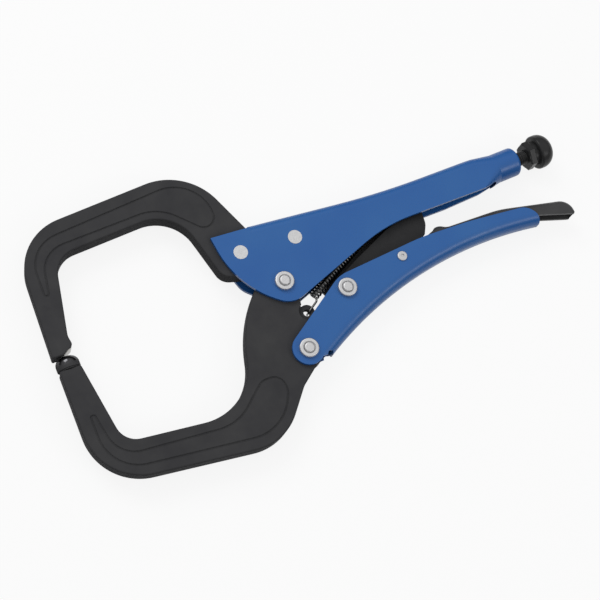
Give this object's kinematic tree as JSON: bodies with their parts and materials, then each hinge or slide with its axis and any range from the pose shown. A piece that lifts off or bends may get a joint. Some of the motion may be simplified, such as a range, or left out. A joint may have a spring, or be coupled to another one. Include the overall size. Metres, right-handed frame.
{
  "type": "locking C-clamp pliers",
  "caption": "Locking C-clamp pliers with forged C-shaped jaws, folded sheet handles, a toggle link, a release lever and an adjusting screw.",
  "frame": {"origin": "on the main pivot's axis, at the surface that the far ends of the pivot pins rest on", "axes": "+X along the adjusting screw towards the knob, +Y from the lower to the upper handle, +Z along the pivots, up from the rest surface"},
  "size_m": [0.3064, 0.1543, 0.0197],
  "materials": {
    "blue_coat": "gloss",
    "black_forging": "satin",
    "black_steel": "satin",
    "plated_steel": "satin",
    "spring_steel": "satin"
  },
  "bodies": {
    "body": {"upper_handle": "blue_coat", "upper_jaw": "black_forging", "jaw_rivet_front": "plated_steel", "jaw_rivet_rear": "plated_steel", "main_pivot_pin": "plated_steel", "main_pivot_washers": "plated_steel", "screw_nut": "plated_steel", "spring_stud": "plated_steel", "return_spring": "spring_steel"},
    "lower_jaw": {"lower_jaw": "black_forging"},
    "lower_handle": {"lower_handle": "blue_coat", "handle_pivot_pin": "plated_steel", "handle_pivot_washers": "plated_steel", "link_pivot_pin": "plated_steel", "link_pivot_washers": "plated_steel", "lever_rivet": "plated_steel"},
    "toggle_link": {"toggle_link": "black_steel"},
    "release_lever": {"release_lever": "black_steel"},
    "adjusting_screw": {"adjusting_screw": "black_steel"},
    "adjusting_knob": {"adjusting_knob": "black_steel"}
  },
  "joints": [
    {"name": "jaw_pivot", "type": "hinge", "parent": "body", "child": "lower_jaw", "pos_m": [0, 0, 0.00985], "axis": [0, 0, 1], "range_deg": [0, 20], "deforming": ["return_spring"]},
    {"name": "handle_pivot", "type": "hinge", "parent": "lower_jaw", "child": "lower_handle", "pos_m": [-0.002, -0.0383, 0.00985], "axis": [0, 0, 1], "range_deg": [-58, 0]},
    {"name": "link_pivot", "type": "hinge", "parent": "lower_handle", "child": "toggle_link", "pos_m": [0.0307, -0.0144, 0.00985], "axis": [0, 0, 1], "range_deg": [0, 64]},
    {"name": "lever_pivot", "type": "hinge", "parent": "lower_handle", "child": "release_lever", "pos_m": [0.0667, -0.0078, 0.00985], "axis": [0, 0, 1], "range_deg": [0, 8]},
    {"name": "screw_slide", "type": "slide", "parent": "body", "child": "adjusting_screw", "axis": [0.9981, 0.061, 0], "range_m": [0, 0.02]},
    {"name": "knob_spin", "type": "hinge", "parent": "adjusting_screw", "child": "adjusting_knob", "pos_m": [0.162, 0.02582, 0.00985], "axis": [0.9981, 0.061, 0], "range_deg": [0, 5761]}
  ],
  "couplings": [
    {"joint": "handle_pivot", "follows": "jaw_pivot", "ratio": -2.855},
    {"joint": "link_pivot", "follows": "jaw_pivot", "ratio": 3.17},
    {"joint": "knob_spin", "follows": "screw_slide", "rad_per_m": 5026.5}
  ]
}
